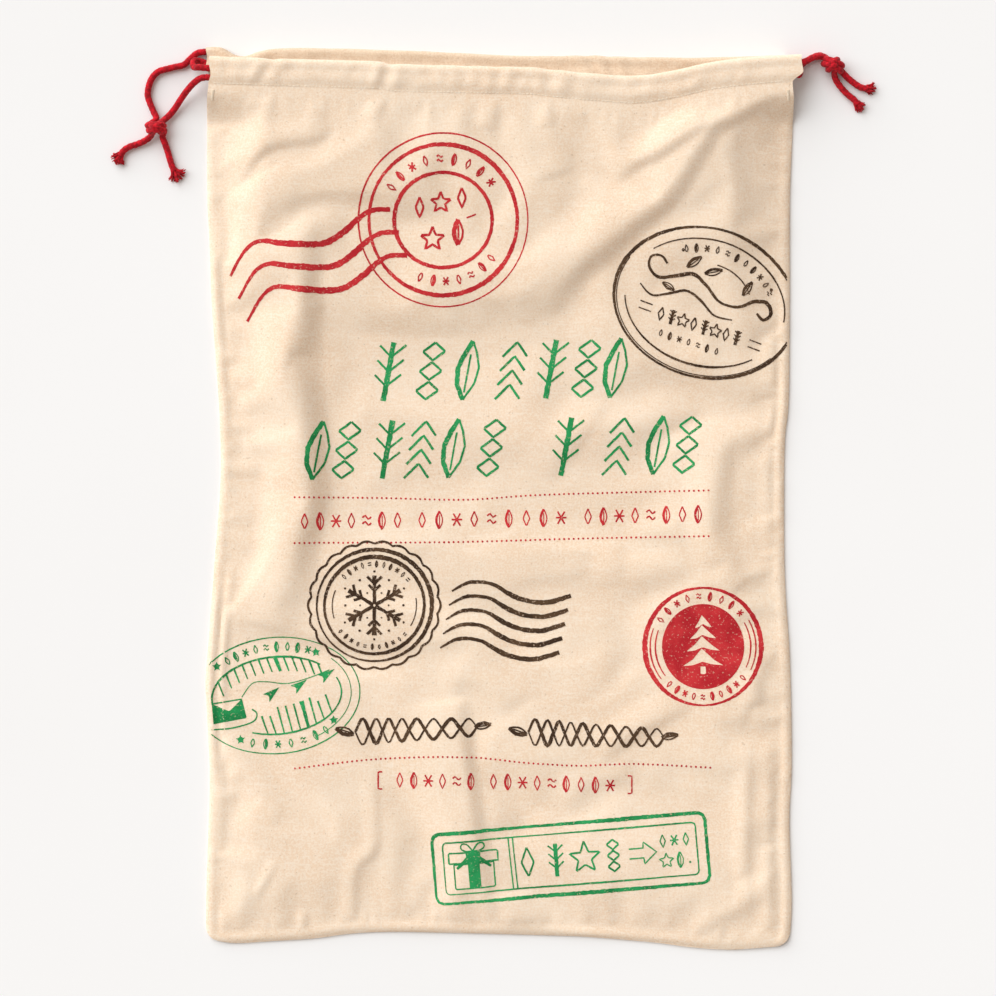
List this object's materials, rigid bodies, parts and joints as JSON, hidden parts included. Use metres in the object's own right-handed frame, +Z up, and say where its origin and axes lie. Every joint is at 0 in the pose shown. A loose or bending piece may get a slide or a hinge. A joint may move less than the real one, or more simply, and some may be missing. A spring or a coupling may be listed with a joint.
{
  "type": "drawstring mail sack",
  "caption": "Flat canvas mail sack with a folded cord casing on each side of its mouth and two red drawcords knotted at opposite ends.",
  "frame": {"origin": "on the resting surface, below the centre of the sack's own box, with the free cord ends left out", "axes": "+X across the sack to its right side, +Y from the base to the mouth, +Z up from the resting surface to the printed front"},
  "size_m": [0.6443, 0.772, 0.0215],
  "materials": {
    "canvas": "plain-weave natural cotton canvas, matt",
    "thread": "twisted cotton sewing thread, matt",
    "cord": "soft braided red cotton cord",
    "print_red": "red printing ink soaked into the canvas",
    "print_green": "green printing ink soaked into the canvas",
    "print_brown": "dark brown printing ink soaked into the canvas"
  },
  "bodies": {
    "sack": {"back_panel": "canvas", "front_panel": "canvas", "back_casing": "canvas", "front_casing": "canvas", "left_side_seam": "canvas", "base_seam": "canvas", "right_side_seam": "canvas", "left_side_thread": "thread", "base_thread": "thread", "right_side_thread": "thread", "back_hem_thread": "thread", "front_hem_thread": "thread", "left_bar_tack": "thread", "right_bar_tack": "thread"},
    "left_drawcord": {"left_held_cord": "cord", "left_back_strand": "cord", "left_front_strand": "cord", "left_knot": "cord", "left_back_tail": "cord", "left_front_tail": "cord"},
    "right_drawcord": {"right_held_cord": "cord", "right_back_strand": "cord", "right_front_strand": "cord", "right_knot": "cord", "right_back_tail": "cord", "right_front_tail": "cord"}
  },
  "joints": [
    {"name": "left_cord_pull", "type": "slide", "parent": "sack", "child": "left_drawcord", "axis": [-1, 0, 0], "range_m": [0, 0.004]},
    {"name": "right_cord_pull", "type": "slide", "parent": "sack", "child": "right_drawcord", "axis": [1, 0, 0], "range_m": [0, 0.004]}
  ]
}
